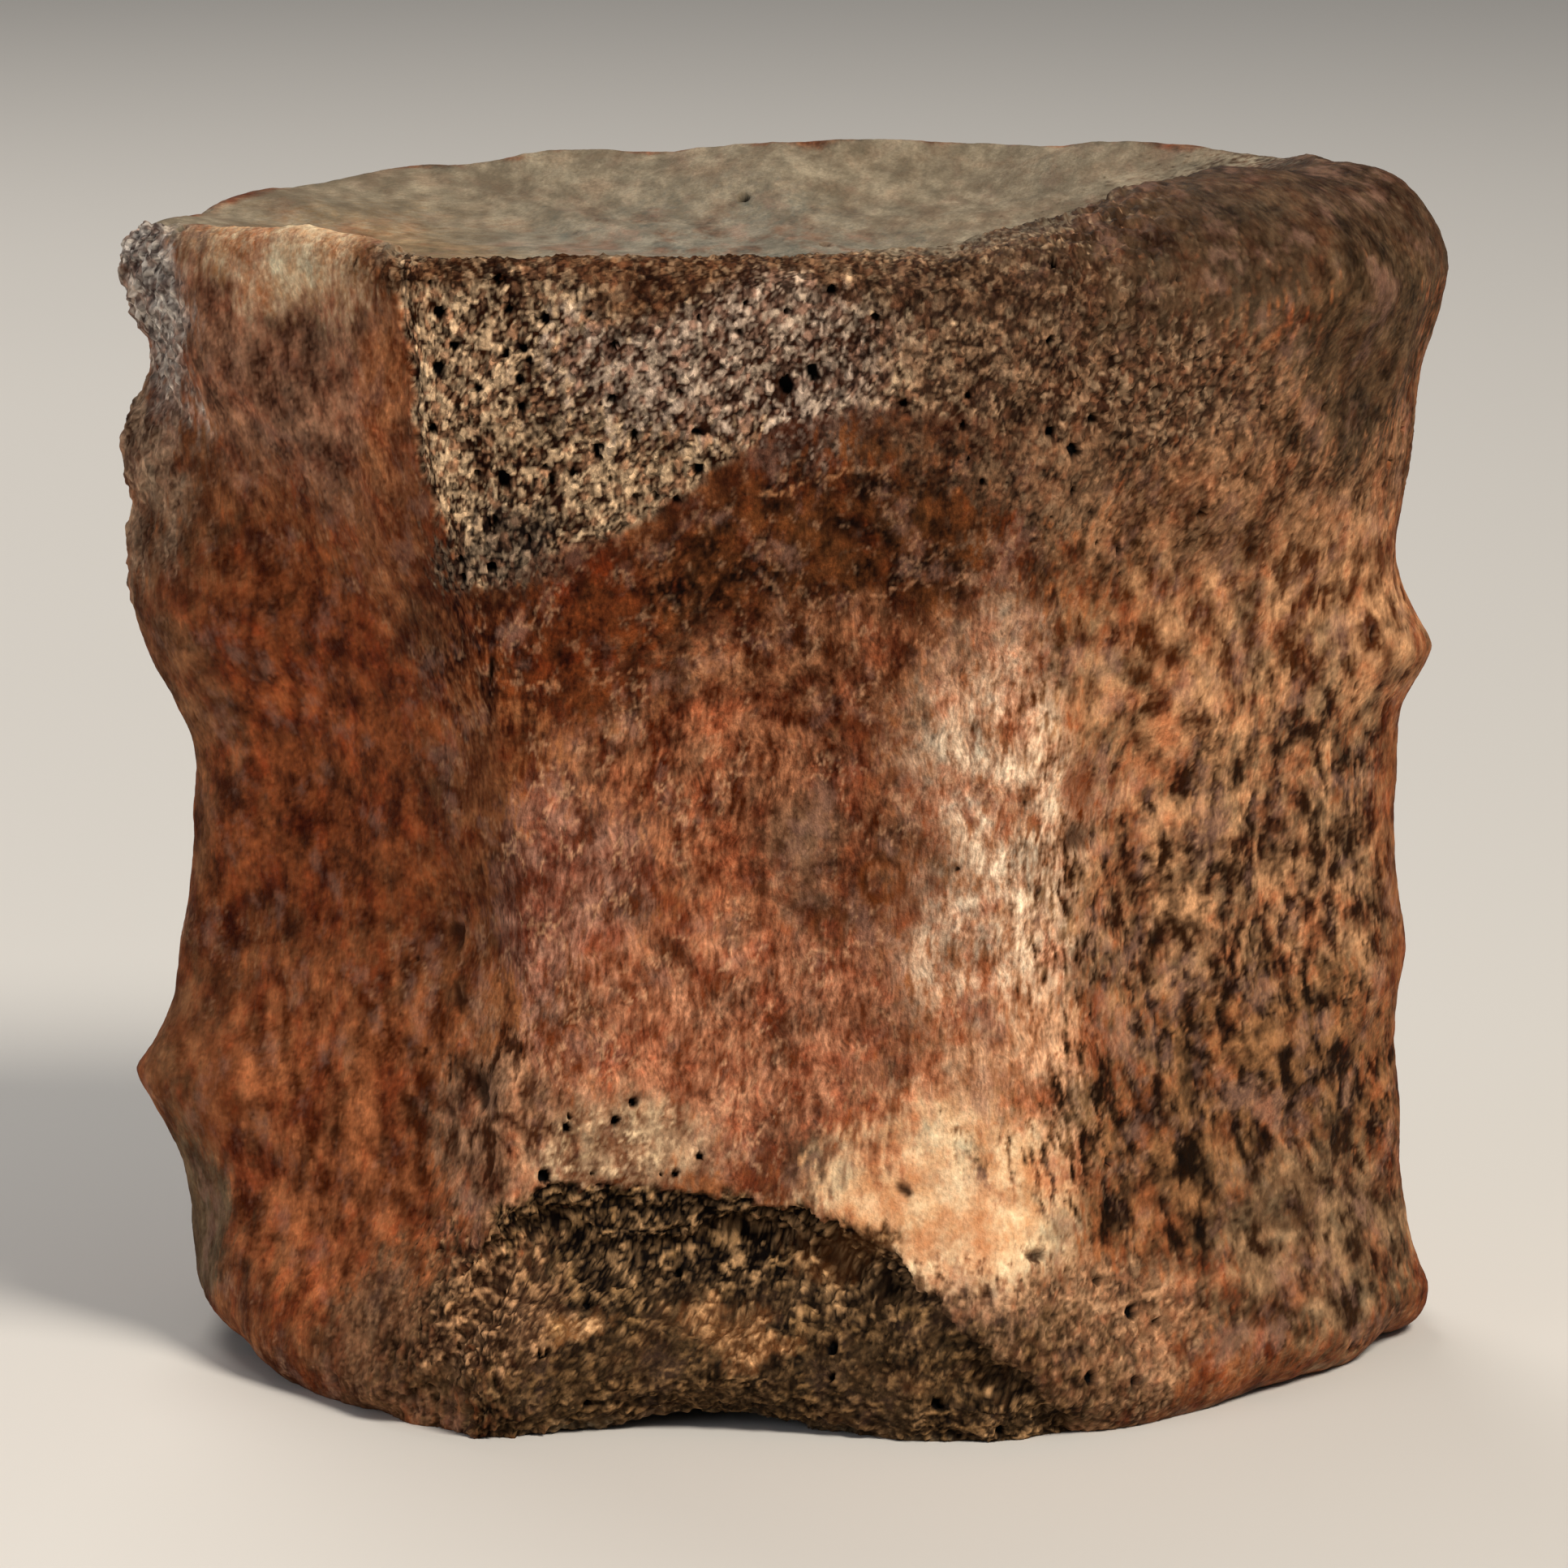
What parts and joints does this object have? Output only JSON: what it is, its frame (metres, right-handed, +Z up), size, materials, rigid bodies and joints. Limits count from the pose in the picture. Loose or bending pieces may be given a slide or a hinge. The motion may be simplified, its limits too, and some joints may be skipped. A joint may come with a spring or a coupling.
{
  "type": "fossil dinosaur vertebra",
  "caption": "Spool-shaped fossil tail vertebra body of a duck-billed dinosaur, standing on its lower articular face, with two ventral ridges and broken chevron facets.",
  "frame": {"origin": "middle of the bone's bounding box, on the surface it stands on", "axes": "+Z up the vertebra's own axis, -Y is the underside with the chevron facets and faces the picture's camera, +X to the right of the picture"},
  "size_m": [0.0596, 0.0482, 0.054],
  "materials": {
    "bone": "weathered fossil bone, red-brown cortex with spongy tan patches"
  },
  "bodies": {
    "root": {"centrum": "bone"}
  },
  "joints": []
}
